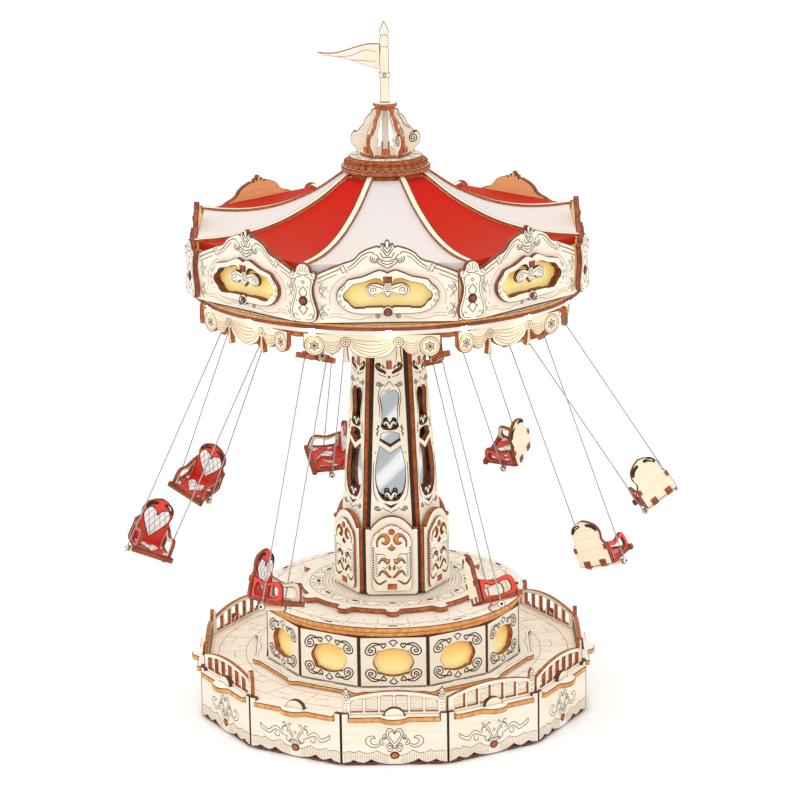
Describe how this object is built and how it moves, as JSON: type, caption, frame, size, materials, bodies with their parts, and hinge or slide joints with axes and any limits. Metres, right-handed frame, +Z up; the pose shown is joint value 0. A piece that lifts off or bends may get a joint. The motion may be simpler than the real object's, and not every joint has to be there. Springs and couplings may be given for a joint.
{
  "type": "chair swing ride model",
  "caption": "Laser-cut plywood model of a chair swing ride: tented canopy with lit frieze boards on a mirrored column, thread-hung chairs flung outward, and a fenced drum base.",
  "frame": {"origin": "centre of the base plate's underside", "axes": "+Z up along the turning axis, -Y to the front of the model, with the open bay to the left of the front bay"},
  "size_m": [0.2098, 0.1953, 0.26],
  "materials": {
    "plywood": "pale bare plywood, matt",
    "red_sheet": "printed sheet, satin",
    "white_sheet": "printed sheet, satin",
    "yellow_acrylic": "translucent, lit from behind",
    "mirror": "silvered sheet",
    "light_strip": "white, lit",
    "red_wood": "red printed plywood",
    "steel": "drawn rod"
  },
  "bodies": {
    "base": {"base_plate": "plywood", "base_wall": "plywood", "column_foot": "plywood", "column_mirror": "mirror", "column_plinth": "plywood", "column_shaft": "plywood", "column_spindle": "steel", "deck_plate": "plywood", "drum_step": "plywood", "drum_top": "plywood", "drum_wall": "plywood", "drum_windows": "yellow_acrylic", "fence_1": "plywood", "fence_2": "plywood", "fence_3": "plywood"},
    "canopy": {"canopy_floor": "plywood", "crown_discs": "plywood", "flagpole": "plywood", "frieze_1": "plywood", "frieze_2": "plywood", "frieze_3": "plywood", "frieze_4": "plywood", "frieze_5": "plywood", "frieze_6": "plywood", "frieze_7": "plywood", "frieze_8": "plywood", "frieze_windows": "yellow_acrylic", "lantern": "plywood", "light_ring": "light_strip", "roof_panel_1": "white_sheet", "roof_panel_2": "red_sheet", "roof_panel_3": "white_sheet", "roof_panel_4": "red_sheet", "roof_panel_5": "white_sheet", "roof_panel_6": "red_sheet", "roof_panel_7": "white_sheet", "roof_panel_8": "red_sheet", "roof_ribs": "plywood", "valance": "plywood"},
    "swing_1": {"swing_1_hanger": "red_wood", "swing_1_seat": "red_wood"},
    "swing_2": {"swing_2_hanger": "red_wood", "swing_2_seat": "red_wood"},
    "swing_3": {"swing_3_hanger": "red_wood", "swing_3_seat": "red_wood"},
    "swing_4": {"swing_4_hanger": "red_wood", "swing_4_seat": "red_wood"},
    "swing_5": {"swing_5_hanger": "red_wood", "swing_5_seat": "red_wood"},
    "swing_6": {"swing_6_hanger": "red_wood", "swing_6_seat": "red_wood"},
    "swing_7": {"swing_7_hanger": "red_wood", "swing_7_seat": "red_wood"},
    "swing_8": {"swing_8_hanger": "red_wood", "swing_8_seat": "red_wood"}
  },
  "joints": [
    {"name": "canopy_spin", "type": "hinge", "parent": "base", "child": "canopy", "pos_m": [0, 0, 0.16], "axis": [0, 0, 1], "continuous": true},
    {"name": "swing_1_fling", "type": "hinge", "parent": "canopy", "child": "swing_1", "pos_m": [0.01684, -0.05341, 0.148], "axis": [-0.9596, -0.2482, -0.1323], "range_deg": [-23.6, 18.4]},
    {"name": "swing_2_fling", "type": "hinge", "parent": "canopy", "child": "swing_2", "pos_m": [0.04967, -0.02586, 0.148], "axis": [-0.5031, -0.8541, -0.1323], "range_deg": [-17.8, 24.2]},
    {"name": "swing_3_fling", "type": "hinge", "parent": "canopy", "child": "swing_3", "pos_m": [0.05341, 0.01684, 0.148], "axis": [0.2482, -0.9596, 0.1323], "range_deg": [-32.1, 9.9]},
    {"name": "swing_4_fling", "type": "hinge", "parent": "canopy", "child": "swing_4", "pos_m": [0.02586, 0.04967, 0.148], "axis": [0.8616, -0.5075, -0.0087], "range_deg": [-30.2, 11.8]},
    {"name": "swing_5_fling", "type": "hinge", "parent": "canopy", "child": "swing_5", "pos_m": [-0.01684, 0.05341, 0.148], "axis": [0.9679, 0.2503, 0.0209], "range_deg": [-26.5, 15.5]},
    {"name": "swing_6_fling", "type": "hinge", "parent": "canopy", "child": "swing_6", "pos_m": [-0.04967, 0.02586, 0.148], "axis": [0.5026, 0.8532, 0.1392], "range_deg": [-25.4, 16.6]},
    {"name": "swing_7_fling", "type": "hinge", "parent": "canopy", "child": "swing_7", "pos_m": [-0.05341, -0.01684, 0.148], "axis": [-0.2494, 0.9645, 0.0872], "range_deg": [-24.2, 17.8]},
    {"name": "swing_8_fling", "type": "hinge", "parent": "canopy", "child": "swing_8", "pos_m": [-0.02586, -0.04967, 0.148], "axis": [-0.8611, 0.5072, 0.0349], "range_deg": [-18, 24]}
  ]
}
